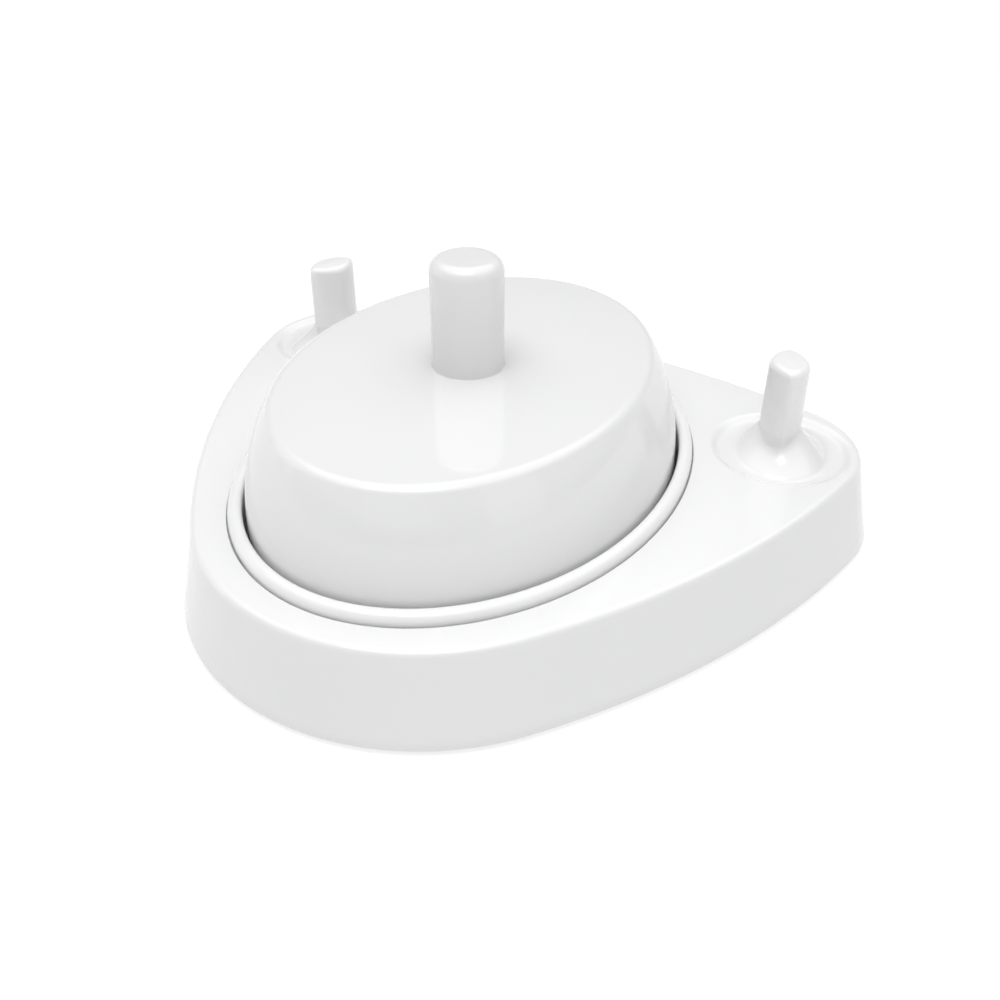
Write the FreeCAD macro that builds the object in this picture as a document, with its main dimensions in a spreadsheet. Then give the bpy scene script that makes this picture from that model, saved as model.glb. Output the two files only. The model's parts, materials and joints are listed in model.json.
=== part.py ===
import FreeCAD, Part
import math
import os
import Sketcher

# Charging stand for an electric toothbrush: an oval charger with a round charging post, standing
# in the well of a rounded-triangular tray with two pegs for spare brush heads.
# Millimetres, +Z up, front towards -Y. The origin is on the table, under the middle of the tray.

SIZES = (
    # tray outline at deck level: front, side, corner and back arcs, each tangent to the next
    ("deck_height", 13.6),
    ("front_radius", 32.0),
    ("front_centre", -10.6),
    ("side_radius", 120.0),
    ("corner_radius", 13.6),
    ("corner_across", 37.0),
    ("corner_along", 23.2),
    ("back_radius", 134.5),
    ("wall_flare", 2.8),
    ("edge_round", 0.9),
    ("shell_wall", 2.0),
    ("deck_thick", 2.2),
    # what the tray stands on
    ("foot_stand", 0.6),
    ("foot_radius", 4.5),
    ("foot_depth", 0.6),
    ("front_foot_along", -35.5),
    ("rear_foot_across", 36.0),
    ("rear_foot_along", 24.0),
    ("base_thick", 1.8),
    ("base_gap", 0.25),
    ("base_hole_across", 20.0),
    ("base_hole_along", 28.0),
    # well and its liner
    ("well_along", 0.7),
    ("liner_across", 28.75),
    ("liner_along", 37.1),
    ("liner_wall", 1.0),
    ("rim_width", 2.0),
    ("rim_height", 15.1),
    ("rim_edge_height", 14.0),
    ("rim_slope", 1.0),
    ("rim_seat", 1.0),
    ("rim_round", 0.5),
    ("rim_gap", 0.3),
    ("hole_gap", 0.2),
    ("ledge_thick", 1.0),
    ("ledge_width", 7.2),
    # way out for the cord
    ("notch_half", 3.2),
    ("notch_top", 10.9),
    ("notch_past", 12.0),
    ("inlet_radius", 1.7),
    ("inlet_height", 8.6),
    # pegs for the brush heads
    ("peg_across", 38.6),
    ("peg_along", 23.55),
    ("peg_turn", 20.0),
    ("peg_half_long", 4.2),
    ("peg_half_wide", 2.95),
    ("peg_seam", 17.4),
    ("peg_top", 27.7),
    ("peg_round", 1.0),
    ("peg_nose", 1.2),
    ("peg_tip", 1.0),
    ("peg_taper", 0.1),
    ("shank_radius", 1.8),
    ("shank_bottom", 8.0),
    ("socket_gap", 0.05),
    ("socket_wall", 1.8),
    ("dish_radius", 10.0),
    ("dish_floor", 8.6),
    ("dish_depth", 0.65),
    # screws of the tray
    ("screw_radius", 1.2),
    ("screw_head", 2.3),
    ("screw_long", 8.0),
    ("screw_head_thick", 0.9),
    ("slot_wide", 0.5),
    ("slot_deep", 0.4),
    ("boss_radius", 2.6),
    ("side_screw_across", 36.0),
    ("side_screw_along", -3.0),
    ("rear_screw_across", 29.0),
    ("rear_screw_along", 33.0),
    # charger
    ("puck_across", 28.35),
    ("puck_along", 36.7),
    ("puck_bottom", 4.0),
    ("puck_shoulder", 13.0),
    ("puck_top", 28.4),
    ("puck_side_radius", 28.8),
    ("puck_round", 1.6),
    ("cover_wall", 1.9),
    ("skirt_wall", 1.5),
    ("post_radius", 4.95),
    ("post_top", 43.7),
    ("post_round", 1.7),
    ("post_root", 0.4),
    ("post_wall", 1.4),
    ("plate_thick", 1.8),
    ("seal_thick", 0.8),
    ("seal_width", 1.1),
    ("fit_gap", 0.1),
    ("side_thicker", 0.4),
    ("pad_radius", 1.5),
    ("pad_across", 24.2),
    ("pad_along", 32.6),
    ("pad_inset", 0.4),
    # electronics
    ("board_across", 32.0),
    ("board_along", 48.0),
    ("board_height", 8.0),
    ("board_thick", 1.4),
    ("board_screw_across", 13.0),
    ("board_screw_along", 20.5),
    ("board_screw_radius", 0.9),
    ("core_radius", 2.4),
    ("core_bottom", 12.0),
    ("core_top", 41.6),
    ("tube_radius", 3.1),
    ("tube_top", 40.5),
    ("flange_radius", 9.0),
    ("flange_thick", 1.0),
    ("flange_low", 14.0),
    ("flange_high", 24.0),
    ("winding_radius", 8.3),
    ("leg_across", 7.0),
    ("leg_radius", 1.2),
    ("board_corner", 1.5),
    ("post_foot_radius", 2.2),
    # how far one feature runs into the next, so that they join
    ("bite", 0.5),
)

doc = FreeCAD.newDocument("charging_stand")
sheet = doc.addObject("Spreadsheet::Sheet", "Sizes")
for row, (alias, size) in enumerate(SIZES, start=1):
    cell = "B" + str(row)
    sheet.set("A" + str(row), alias)
    sheet.set(cell, str(size))
    sheet.setAlias(cell, alias)
doc.recompute()

finished = []


def measure(expression):
    """The number that an expression of sheet values gives."""
    return float(sheet.evalExpression(expression))


def point(across, along, height=0.0):
    return FreeCAD.Vector(across, along, height)


def new_body(label):
    body = doc.addObject("PartDesign::Body", label)
    body.Label = label
    finished.append(body)
    return body


def keep(thing, label):
    """Name a Part object after its piece and list it for export."""
    thing.Label = label
    finished.append(thing)
    return thing


def sketch_on(body, name, role, **offsets):
    """A sketch on one of the body's own origin planes, moved by expressions for x, y, z or turn."""
    sketch = body.newObject("Sketcher::SketchObject", name)
    plane = [feature for feature in body.Origin.OriginFeatures if feature.Role == role][0]
    sketch.AttachmentSupport = [(plane, "")]
    sketch.MapMode = "FlatFace"
    for axis, expression in offsets.items():
        if axis == "turn":
            sketch.AttachmentOffset = FreeCAD.Placement(FreeCAD.Vector(), FreeCAD.Rotation(1, 0, 0, 0))
            sketch.AttachmentOffset.Rotation.Axis = FreeCAD.Vector(0, 0, 1)
            sketch.setExpression("AttachmentOffset.Rotation.Angle", expression)
        else:
            sketch.setExpression("AttachmentOffset.Base." + axis, expression)
    return sketch


def bind(sketch, constraint, name, expression):
    index = sketch.addConstraint(constraint)
    sketch.renameConstraint(index, name)
    sketch.setExpression("Constraints." + name, expression)


def place_centre(sketch, shape, name, across, along):
    """Fix a curve's centre at two expressions; zero means on the axis."""
    if across == "0":
        sketch.addConstraint(Sketcher.Constraint("PointOnObject", shape, 3, -2))
    else:
        bind(sketch, Sketcher.Constraint("DistanceX", shape, 3, measure(across)), name + "_across", across)
    if along == "0":
        sketch.addConstraint(Sketcher.Constraint("PointOnObject", shape, 3, -1))
    else:
        bind(sketch, Sketcher.Constraint("DistanceY", shape, 3, measure(along)), name + "_along", along)


def oval_sketch(body, name, height, half_across, half_along):
    """An ellipse over the well's centre, long axis along Y."""
    sketch = sketch_on(body, name, "XY_Plane", z=height)
    across = measure(half_across)
    along = measure(half_along)
    middle = measure("Sizes.well_along")
    ellipse = Part.Ellipse(point(0, middle + along), point(across, middle), point(0, middle))
    shape = sketch.addGeometry(ellipse, False)
    sketch.exposeInternalGeometry(shape)
    sketch.addConstraint(Sketcher.Constraint("Vertical", 1))
    place_centre(sketch, shape, "middle", "0", "Sizes.well_along")
    bind(sketch, Sketcher.Constraint("Distance", 1, 2 * along), "long_axis", "2 * (" + half_along + ")")
    bind(sketch, Sketcher.Constraint("Distance", 2, 2 * across), "short_axis", "2 * (" + half_across + ")")
    return sketch


def circles_sketch(body, name, height, circles, role="XY_Plane"):
    """Circles given as (across, along, radius) expressions."""
    sketch = sketch_on(body, name, role, z=height)
    for number, (across, along, radius) in enumerate(circles):
        centre = point(measure(across), measure(along))
        circle = Part.Circle(centre, FreeCAD.Vector(0, 0, 1), measure(radius))
        shape = sketch.addGeometry(circle, False)
        tag = "circle_" + str(number)
        place_centre(sketch, shape, tag, across, along)
        bind(sketch, Sketcher.Constraint("Radius", shape, measure(radius)), tag + "_radius", radius)
    return sketch


def box_sketch(body, name, height, left, right, front, back):
    """A rectangle between four expressions."""
    sketch = sketch_on(body, name, "XY_Plane", z=height)
    low = point(measure(left), measure(front))
    high = point(measure(right), measure(back))
    corners = [low, point(high.x, low.y), high, point(low.x, high.y)]
    for number in range(4):
        sketch.addGeometry(Part.LineSegment(corners[number], corners[(number + 1) % 4]), False)
    for number in range(4):
        sketch.addConstraint(Sketcher.Constraint("Coincident", number, 2, (number + 1) % 4, 1))
    for number, direction in enumerate(("Horizontal", "Vertical", "Horizontal", "Vertical")):
        sketch.addConstraint(Sketcher.Constraint(direction, number))
    bind(sketch, Sketcher.Constraint("DistanceX", 0, 1, low.x), "left", left)
    bind(sketch, Sketcher.Constraint("DistanceX", 1, 2, high.x), "right", right)
    bind(sketch, Sketcher.Constraint("DistanceY", 0, 1, low.y), "front", front)
    bind(sketch, Sketcher.Constraint("DistanceY", 2, 1, high.y), "back", back)
    return sketch


def circle_meeting(first, first_reach, second, second_reach, side):
    """The point at two given distances from two others, on the named side of the line between."""
    line = second - first
    gap = line.Length
    line.normalize()
    run = (first_reach ** 2 - second_reach ** 2 + gap ** 2) / (2 * gap)
    rise = math.sqrt(first_reach ** 2 - run ** 2)
    return first + line * run + FreeCAD.Vector(-line.y, line.x, 0) * rise * side


def tangent_chain(sketch, arcs):
    """Arcs (centre, radius, start angle, end angle), counterclockwise, each tangent to the next."""
    for centre, radius, start, end in arcs:
        circle = Part.Circle(centre, FreeCAD.Vector(0, 0, 1), radius)
        sketch.addGeometry(Part.ArcOfCircle(circle, start, end), False)
    count = len(arcs)
    for number in range(count):
        sketch.addConstraint(Sketcher.Constraint("Tangent", number, 2, (number + 1) % count, 1))


def heading(start, end):
    return math.atan2(end.y - start.y, end.x - start.x)


def outline_sketch(body, name, height, spread):
    """The tray's outline, widened all round by an expression."""
    sketch = sketch_on(body, name, "XY_Plane", z=height)
    wider = measure(spread)
    front = point(0, measure("Sizes.front_centre"))
    right = point(measure("Sizes.corner_across"), measure("Sizes.corner_along"))
    left = point(-right.x, right.y)
    front_radius = measure("Sizes.front_radius")
    side_radius = measure("Sizes.side_radius")
    corner_radius = measure("Sizes.corner_radius")
    back_radius = measure("Sizes.back_radius")
    side_right = circle_meeting(front, side_radius - front_radius, right, side_radius - corner_radius, 1)
    side_left = point(-side_right.x, side_right.y)
    back_drop = math.sqrt((back_radius - corner_radius) ** 2 - right.x ** 2)
    back = point(0, right.y - back_drop)
    low = heading(side_right, front)
    turn = heading(side_right, right)
    over = heading(back, right)
    tangent_chain(sketch, (
        (front, front_radius + wider, -math.pi - low, low),
        (side_right, side_radius + wider, low, turn),
        (right, corner_radius + wider, turn, over),
        (back, back_radius + wider, over, math.pi - over),
        (left, corner_radius + wider, math.pi - over, math.pi - turn),
        (side_left, side_radius + wider, math.pi - turn, math.pi - low),
    ))
    radii = ("front_radius", "side_radius", "corner_radius", "back_radius", "corner_radius", "side_radius")
    for number, size in enumerate(radii):
        value = measure("Sizes." + size) + wider
        rule = "Sizes." + size + " + (" + spread + ")"
        bind(sketch, Sketcher.Constraint("Radius", number, value), "radius_" + str(number), rule)
    place_centre(sketch, 0, "front", "0", "Sizes.front_centre")
    place_centre(sketch, 2, "right", "Sizes.corner_across", "Sizes.corner_along")
    place_centre(sketch, 4, "left", "-Sizes.corner_across", "Sizes.corner_along")
    return sketch


def diamond_sketch(body, name, height, side, half_wide, half_long, round_wide, round_long):
    """A rounded diamond round a peg's axis: four straight faces between four arcs."""
    sketch = sketch_on(body, name, "XY_Plane", z=height, x=side + "Sizes.peg_across", y="Sizes.peg_along",
                       turn=side + "Sizes.peg_turn")
    wide_centre = measure(half_wide) - measure(round_wide)
    long_centre = measure(half_long) - measure(round_long)
    span = math.hypot(wide_centre, long_centre)
    lean = math.atan2(long_centre, wide_centre)
    lift = math.asin((measure(round_wide) - measure(round_long)) / span)
    normal = math.pi / 2 - lean + lift
    wide = measure(round_wide)
    tip = measure(round_long)
    arcs = (
        (point(wide_centre, 0), wide, -normal, normal),
        (point(0, long_centre), tip, normal, math.pi - normal),
        (point(-wide_centre, 0), wide, math.pi - normal, math.pi + normal),
        (point(0, -long_centre), tip, math.pi + normal, 2 * math.pi - normal),
    )
    for number, (centre, radius, start, end) in enumerate(arcs):
        circle = Part.Circle(centre, FreeCAD.Vector(0, 0, 1), radius)
        arc = Part.ArcOfCircle(circle, start, end)
        after, after_radius = arcs[(number + 1) % 4][:2]
        reach = FreeCAD.Vector(math.cos(end), math.sin(end), 0)
        sketch.addGeometry(arc, False)
        sketch.addGeometry(Part.LineSegment(centre + reach * radius, after + reach * after_radius), False)
    for number in range(8):
        sketch.addConstraint(Sketcher.Constraint("Tangent", number, 2, (number + 1) % 8, 1))
    rules = ((round_wide, half_wide, "0"), (round_long, "0", half_long),
             (round_wide, "-" + half_wide, "0"), (round_long, "0", "-" + half_long))
    for number, (radius, across, along) in enumerate(rules):
        tag = "arc_" + str(number)
        bind(sketch, Sketcher.Constraint("Radius", 2 * number, measure(radius)), tag + "_radius", radius)
        if across == "0":
            inward = "-" if along[0] != "-" else "+"
            place_centre(sketch, 2 * number, tag, "0", along + inward + "(" + radius + ")")
        else:
            inward = "-" if across[0] != "-" else "+"
            place_centre(sketch, 2 * number, tag, across + inward + "(" + radius + ")", "0")
    return sketch


def pad(body, sketch, length, downward=False):
    feature = body.newObject("PartDesign::Pad", sketch.Name + "_pad")
    feature.Profile = sketch
    feature.Reversed = downward
    feature.setExpression("Length", length)
    return feature


def pocket(body, sketch, length, upward=False):
    """A cut that goes down from its sketch, or up when upward is true."""
    feature = body.newObject("PartDesign::Pocket", sketch.Name + "_cut")
    feature.Profile = sketch
    feature.Reversed = upward
    feature.setExpression("Length", length)
    return feature


def loft(body, sketches, cut=False, ruled=True):
    kind = "PartDesign::SubtractiveLoft" if cut else "PartDesign::AdditiveLoft"
    feature = body.newObject(kind, sketches[0].Name + "_loft")
    feature.Profile = sketches[0]
    feature.Sections = sketches[1:]
    feature.Ruled = ruled
    return feature


def fillet(body, radius, wanted):
    """Round the edges of the body's last feature that wanted() picks."""
    doc.recompute()
    last = body.Tip
    names = []
    for number, edge in enumerate(last.Shape.Edges, start=1):
        if wanted(edge):
            names.append("Edge" + str(number))
    feature = body.newObject("PartDesign::Fillet", body.Name + "_round_" + str(len(body.Group)))
    feature.Base = (last, names)
    feature.setExpression("Radius", radius)
    doc.recompute()
    return feature


def level_at(height, reach=None, beyond=None):
    """A test for edges that lie flat at a height, inside or outside a distance from the well's axis."""
    middle = point(0, measure("Sizes.well_along"))

    def test(edge):
        box = edge.BoundBox
        if abs(box.ZMin - height) > 0.02 or abs(box.ZMax - height) > 0.02:
            return False
        place = edge.valueAt(edge.FirstParameter)
        distance = math.hypot(place.x - middle.x, place.y - middle.y)
        if reach is not None and distance > reach:
            return False
        return beyond is None or distance > beyond
    return test


SIDES = (("left", "-"), ("right", ""))
# (across, along) of the tray's four screws
TRAY_SCREWS = (
    ("-Sizes.side_screw_across", "Sizes.side_screw_along"),
    ("Sizes.side_screw_across", "Sizes.side_screw_along"),
    ("-Sizes.rear_screw_across", "Sizes.rear_screw_along"),
    ("Sizes.rear_screw_across", "Sizes.rear_screw_along"),
)
TRAY_FEET = (
    ("0", "Sizes.front_foot_along"),
    ("-Sizes.rear_foot_across", "Sizes.rear_foot_along"),
    ("Sizes.rear_foot_across", "Sizes.rear_foot_along"),
)
BOARD_SCREWS = tuple(
    (across + "Sizes.board_screw_across", "Sizes.well_along " + along + " Sizes.board_screw_along")
    for across in ("-", "") for along in ("-", "+")
)
# up a peg's flared foot: share of its rise, half width and half length there
FOOT_FLARE = ((0.0, 6.4, 8.0), (0.3, 5.1, 6.6), (0.65, 3.8, 5.2), (1.0, 3.05, 4.3))
DISH_FLOOR = "Sizes.deck_height - Sizes.dish_depth"
ROOF_BITE = "Sizes.deck_height - Sizes.deck_thick + Sizes.bite"
BASE_TOP = "Sizes.foot_stand + Sizes.base_thick"
BOARD_TOP = "Sizes.board_height + Sizes.board_thick"
POST = ("0", "Sizes.well_along", "Sizes.post_radius")


def same_radius(places, radius):
    """Circles of one radius at several places."""
    return [(across, along, radius) for across, along in places]


def make_tray_shell():
    body = new_body("tray_shell")
    rim = outline_sketch(body, "shell_rim", "Sizes.foot_stand", "Sizes.wall_flare")
    loft(body, [rim] + rounded_deck(body))
    low = outline_sketch(body, "hollow_rim", "Sizes.foot_stand", "Sizes.wall_flare - Sizes.shell_wall")
    high = outline_sketch(body, "hollow_roof", "Sizes.deck_height - Sizes.deck_thick",
                          "0.16 * Sizes.wall_flare - Sizes.shell_wall")
    loft(body, [low, high], cut=True)
    add_peg_feet(body)
    add_tray_bosses(body)
    seat = oval_sketch(body, "rim_seat", "Sizes.deck_height",
                       "Sizes.liner_across + Sizes.rim_width + Sizes.rim_gap",
                       "Sizes.liner_along + Sizes.rim_width + Sizes.rim_gap")
    pocket(body, seat, "Sizes.rim_seat")
    hole = oval_sketch(body, "well_hole", "Sizes.deck_height",
                       "Sizes.liner_across + Sizes.liner_wall + Sizes.hole_gap",
                       "Sizes.liner_along + Sizes.liner_wall + Sizes.hole_gap")
    pocket(body, hole, "Sizes.deck_height")
    notch = box_sketch(body, "shell_notch", "Sizes.notch_top", "-Sizes.notch_half", "Sizes.notch_half",
                       "Sizes.liner_along", "Sizes.liner_along + Sizes.notch_past")
    pocket(body, notch, "Sizes.notch_top")
    return body


def rounded_deck(body):
    """Outlines over the rounded edge between the wall and the deck, from low to high."""
    outlines = []
    steps = 4
    for step in range(steps + 1):
        angle = math.radians(90 * step / steps)
        height = "Sizes.deck_height + {:.4f} * Sizes.edge_round".format(math.sin(angle) - 1)
        spread = "{:.4f} * Sizes.edge_round".format(math.cos(angle) - 1 + 0.2 * (1 - step / steps))
        outlines.append(outline_sketch(body, "shell_edge_" + str(step), height, spread))
    return outlines


def add_peg_feet(body):
    """The dish round each peg, the flared foot that rises from it and the socket for the shank."""
    for name, side in SIDES:
        across = side + "Sizes.peg_across"
        along = "Sizes.peg_along"
        upper = circles_sketch(body, "dish_edge_" + name, "Sizes.deck_height",
                               [(across, along, "Sizes.dish_radius")])
        lower = circles_sketch(body, "dish_floor_" + name, DISH_FLOOR,
                               [(across, along, "Sizes.dish_floor")])
        loft(body, [upper, lower], cut=True)
        sections = []
        for step, (share, half_wide, half_long) in enumerate(FOOT_FLARE):
            height = "{} + {} * (Sizes.peg_seam - ({})) - 0.01".format(DISH_FLOOR, share, DISH_FLOOR)
            sections.append(diamond_sketch(body, "foot_{}_{}".format(name, step), height, side,
                                           str(half_wide), str(half_long), str(0.55 * half_wide),
                                           str(0.45 * half_wide)))
        loft(body, sections, ruled=False)
        boss = circles_sketch(body, "socket_boss_" + name, ROOF_BITE,
                              [(across, along, "Sizes.shank_radius + Sizes.socket_wall")])
        pad(body, boss, ROOF_BITE + " - Sizes.shank_bottom", downward=True)
        socket = circles_sketch(body, "socket_" + name, "Sizes.peg_seam",
                                [(across, along, "Sizes.shank_radius + Sizes.socket_gap")])
        pocket(body, socket, "Sizes.peg_seam - Sizes.shank_bottom + 1")


def add_tray_bosses(body):
    """Four posts under the deck, each with a pilot hole for a screw."""
    bosses = circles_sketch(body, "screw_bosses", BASE_TOP, same_radius(TRAY_SCREWS, "Sizes.boss_radius"))
    pad(body, bosses, ROOF_BITE + " - (" + BASE_TOP + ")")
    pilots = circles_sketch(body, "screw_pilots", BASE_TOP, same_radius(TRAY_SCREWS, "Sizes.screw_radius"))
    pocket(body, pilots, "Sizes.screw_long - 1", upward=True)


def make_tray_base():
    body = new_body("tray_base")
    plate = outline_sketch(body, "base_outline", "Sizes.foot_stand",
                           "Sizes.wall_flare - Sizes.shell_wall - 2 * Sizes.base_gap")
    pad(body, plate, "Sizes.base_thick")
    middle = oval_sketch(body, "base_opening", BASE_TOP, "Sizes.base_hole_across", "Sizes.base_hole_along")
    pocket(body, middle, "Sizes.base_thick")
    slot = box_sketch(body, "base_slot", BASE_TOP, "-Sizes.notch_half", "Sizes.notch_half",
                      "Sizes.base_hole_along - 2", "Sizes.liner_along + Sizes.notch_past")
    pocket(body, slot, "Sizes.base_thick")
    seats = circles_sketch(body, "foot_seats", "Sizes.foot_stand",
                           same_radius(TRAY_FEET, "Sizes.foot_radius + Sizes.fit_gap"))
    pocket(body, seats, "Sizes.foot_depth", upward=True)
    heads = circles_sketch(body, "head_seats", "Sizes.foot_stand",
                           same_radius(TRAY_SCREWS, "Sizes.screw_head + Sizes.hole_gap"))
    pocket(body, heads, "Sizes.screw_head_thick + Sizes.fit_gap", upward=True)
    holes = circles_sketch(body, "screw_holes", "Sizes.foot_stand",
                           same_radius(TRAY_SCREWS, "Sizes.screw_radius + Sizes.hole_gap"))
    pocket(body, holes, "Sizes.base_thick", upward=True)
    return body


def make_feet():
    """Three rubber feet, half sunk in the base plate."""
    for name, place in zip(("foot_front", "foot_left", "foot_right"), TRAY_FEET):
        body = new_body(name)
        disc = circles_sketch(body, name + "_disc", "0", same_radius([place], "Sizes.foot_radius"))
        pad(body, disc, "Sizes.foot_stand + Sizes.foot_depth")
        fillet(body, "0.3", level_at(0.0))


def make_tray_screws():
    """Four self-tapping screws from below, as one group of separate solids."""
    screws = []
    for number, (across, along) in enumerate(TRAY_SCREWS):
        head = doc.addObject("Part::Cylinder", "tray_screw_head_" + str(number))
        head.setExpression("Radius", "Sizes.screw_head")
        head.setExpression("Height", "Sizes.screw_head_thick")
        shank = doc.addObject("Part::Cylinder", "tray_screw_shank_" + str(number))
        shank.setExpression("Radius", "Sizes.screw_radius - Sizes.socket_gap")
        shank.setExpression("Height", "Sizes.screw_long")
        slot = doc.addObject("Part::Box", "tray_screw_slot_" + str(number))
        slot.setExpression("Length", "1.4 * Sizes.screw_head")
        slot.setExpression("Width", "Sizes.slot_wide")
        slot.setExpression("Height", "Sizes.slot_deep")
        corner = (slot, "-0.7 * Sizes.screw_head", "-0.5 * Sizes.slot_wide")
        for solid, shift_across, shift_along in ((head, "0", "0"), (shank, "0", "0"), corner):
            solid.setExpression("Placement.Base.x", across + " + " + shift_across)
            solid.setExpression("Placement.Base.y", along + " + " + shift_along)
            solid.setExpression("Placement.Base.z", "Sizes.foot_stand + Sizes.socket_gap")
        joined = doc.addObject("Part::Fuse", "tray_screw_blank_" + str(number))
        joined.Base = head
        joined.Tool = shank
        screw = doc.addObject("Part::Cut", "tray_screw_" + str(number))
        screw.Base = joined
        screw.Tool = slot
        screws.append(screw)
    group = doc.addObject("Part::Compound", "tray_screws")
    group.Links = screws
    keep(group, "tray_screws")


def make_well_ring():
    body = new_body("well_ring")
    outer_across = "Sizes.liner_across + Sizes.rim_width"
    outer_along = "Sizes.liner_along + Sizes.rim_width"
    seat_height = "Sizes.deck_height - Sizes.rim_seat"
    flange = oval_sketch(body, "rim_flange", seat_height, outer_across, outer_along)
    pad(body, flange, "Sizes.rim_edge_height - Sizes.deck_height + Sizes.rim_seat")
    edge = oval_sketch(body, "rim_edge", "Sizes.rim_edge_height", outer_across, outer_along)
    crest = oval_sketch(body, "rim_crest", "Sizes.rim_height", outer_across + " - Sizes.rim_slope",
                        outer_along + " - Sizes.rim_slope")
    loft(body, [edge, crest])
    wall = oval_sketch(body, "liner_wall", BASE_TOP,
                       "Sizes.liner_across + Sizes.liner_wall", "Sizes.liner_along + Sizes.liner_wall")
    pad(body, wall, seat_height + " - (" + BASE_TOP + ")")
    bore = oval_sketch(body, "liner_bore", "Sizes.rim_height", "Sizes.liner_across", "Sizes.liner_along")
    pocket(body, bore, "Sizes.rim_height - (" + BASE_TOP + ") - Sizes.ledge_thick")
    floor = oval_sketch(body, "ledge_hole", "Sizes.rim_height", "Sizes.liner_across - Sizes.ledge_width",
                        "Sizes.liner_along - Sizes.ledge_width")
    pocket(body, floor, "Sizes.rim_height")
    notch = box_sketch(body, "liner_notch", "Sizes.notch_top", "-Sizes.notch_half", "Sizes.notch_half",
                       "Sizes.liner_along - Sizes.ledge_width - 2",
                       "Sizes.liner_along + 0.5 * Sizes.notch_past")
    pocket(body, notch, "Sizes.notch_top")
    fillet(body, "Sizes.rim_round", level_at(measure("Sizes.rim_height"), beyond=20))
    return body


def make_pegs():
    """A tapered peg for a brush head on each rear corner, with a round shank below the seam."""
    for name, side in SIDES:
        body = new_body("head_peg_" + name)
        half_wide = "Sizes.peg_half_wide"
        half_long = "Sizes.peg_half_long"
        root = diamond_sketch(body, "peg_root_" + name, "Sizes.peg_seam", side, half_wide, half_long,
                              "Sizes.peg_nose", "Sizes.peg_tip")
        top = diamond_sketch(body, "peg_top_" + name, "Sizes.peg_top", side,
                             half_wide + " - Sizes.peg_taper", half_long + " - Sizes.peg_taper",
                             "Sizes.peg_nose", "Sizes.peg_tip")
        loft(body, [root, top])
        shank = circles_sketch(body, "peg_shank_" + name, "Sizes.peg_seam + 1",
                               [(side + "Sizes.peg_across", "Sizes.peg_along", "Sizes.shank_radius")])
        pad(body, shank, "Sizes.peg_seam + 1 - Sizes.shank_bottom", downward=True)
        fillet(body, "Sizes.peg_round", level_at(measure("Sizes.peg_top")))


def puck_inset(height):
    """How far the charger's rounded side has drawn in at a height above its shoulder."""
    rise = height - measure("Sizes.puck_shoulder")
    radius = measure("Sizes.puck_side_radius")
    return radius - math.sqrt(radius ** 2 - rise ** 2)


def dome_sections(body, tag, top, wall):
    """Ovals up the charger's rounded side, drawn in by the wall's thickness."""
    sections = []
    shoulder = measure("Sizes.puck_shoulder")
    steps = 5
    for step in range(steps + 1):
        height = shoulder + (measure(top) - shoulder) * step / steps
        inset = "{:.4f} + {}".format(puck_inset(height), wall)
        rise = "Sizes.puck_shoulder + {:.4f} * ({} - Sizes.puck_shoulder)".format(step / steps, top)
        sections.append(oval_sketch(body, "{}_{}".format(tag, step), rise,
                                    "Sizes.puck_across - (" + inset + ")",
                                    "Sizes.puck_along - (" + inset + ")"))
    return sections


def make_charger_cover():
    body = new_body("charger_cover")
    skirt = oval_sketch(body, "cover_skirt", "Sizes.puck_bottom", "Sizes.puck_across", "Sizes.puck_along")
    pad(body, skirt, "Sizes.puck_shoulder - Sizes.puck_bottom")
    loft(body, dome_sections(body, "cover_side", "Sizes.puck_top", "0"), ruled=False)
    fillet(body, "Sizes.puck_round", level_at(measure("Sizes.puck_top")))
    post = circles_sketch(body, "post", "Sizes.puck_top - 1", [POST])
    pad(body, post, "Sizes.post_top - Sizes.puck_top + 1")
    fillet(body, "Sizes.post_round", level_at(measure("Sizes.post_top")))
    near_post = measure("Sizes.post_radius") + 1
    fillet(body, "Sizes.post_root", level_at(measure("Sizes.puck_top"), reach=near_post))
    cavity = oval_sketch(body, "cover_hollow", "Sizes.puck_bottom",
                         "Sizes.puck_across - Sizes.cover_wall - Sizes.side_thicker",
                         "Sizes.puck_along - Sizes.cover_wall - Sizes.side_thicker")
    pocket(body, cavity, "Sizes.puck_shoulder - Sizes.puck_bottom", upward=True)
    roof = "Sizes.puck_top - Sizes.cover_wall"
    hollow = dome_sections(body, "hollow_side", roof, "Sizes.cover_wall + Sizes.side_thicker")
    loft(body, hollow, cut=True, ruled=False)
    seat = oval_sketch(body, "plate_seat", "Sizes.puck_bottom", "Sizes.puck_across - Sizes.skirt_wall",
                       "Sizes.puck_along - Sizes.skirt_wall")
    pocket(body, seat, "Sizes.plate_thick + Sizes.seal_thick", upward=True)
    bore = circles_sketch(body, "post_bore", roof + " - 1",
                          [("0", "Sizes.well_along", "Sizes.post_radius - Sizes.post_wall")])
    pocket(body, bore, "Sizes.post_top - Sizes.post_wall - (" + roof + ") + 1", upward=True)
    inlet = circles_sketch(body, "cord_inlet", "-Sizes.well_along - Sizes.puck_along - 1",
                           [("0", "Sizes.inlet_height", "Sizes.inlet_radius")], role="XZ_Plane")
    pocket(body, inlet, "Sizes.cover_wall + 2", upward=True)
    return body


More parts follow.
